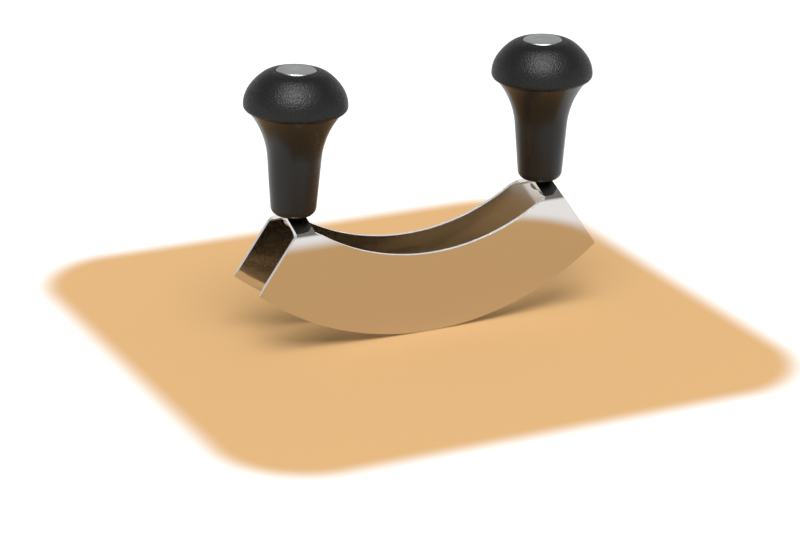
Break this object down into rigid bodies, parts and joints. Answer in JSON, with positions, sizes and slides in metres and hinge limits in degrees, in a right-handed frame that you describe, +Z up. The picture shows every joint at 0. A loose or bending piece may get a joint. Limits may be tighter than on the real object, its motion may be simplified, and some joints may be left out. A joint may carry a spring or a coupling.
{
  "type": "mezzaluna",
  "caption": "Rocking herb chopper: parallel crescent blades and their bridges folded from polished sheet steel, with an upright mushroom knob on each bridge.",
  "frame": {"origin": "midway along the cutting edges, midway between the blades, at the edges' lowest line", "axes": "+X along the blades towards the right-hand knob, +Y across them from the near blade to the far one, +Z up from the cutting edges to the knobs"},
  "size_m": [0.1496, 0.0406, 0.112],
  "materials": {
    "blade_steel": "mirror-polished stainless steel with ground cutting edges",
    "stem_plastic": "smooth satin black",
    "dome_plastic": "finely grained black",
    "disc_steel": "satin",
    "fastener_steel": "plain stainless"
  },
  "bodies": {
    "root": {"blade_frame": "blade_steel", "left_stem": "stem_plastic", "left_dome": "dome_plastic", "left_cap_disc": "disc_steel", "left_bolt": "fastener_steel", "left_saddle_washer": "fastener_steel", "left_washer": "fastener_steel", "left_nut": "fastener_steel", "right_stem": "stem_plastic", "right_dome": "dome_plastic", "right_cap_disc": "disc_steel", "right_bolt": "fastener_steel", "right_saddle_washer": "fastener_steel", "right_washer": "fastener_steel", "right_nut": "fastener_steel"}
  },
  "joints": []
}
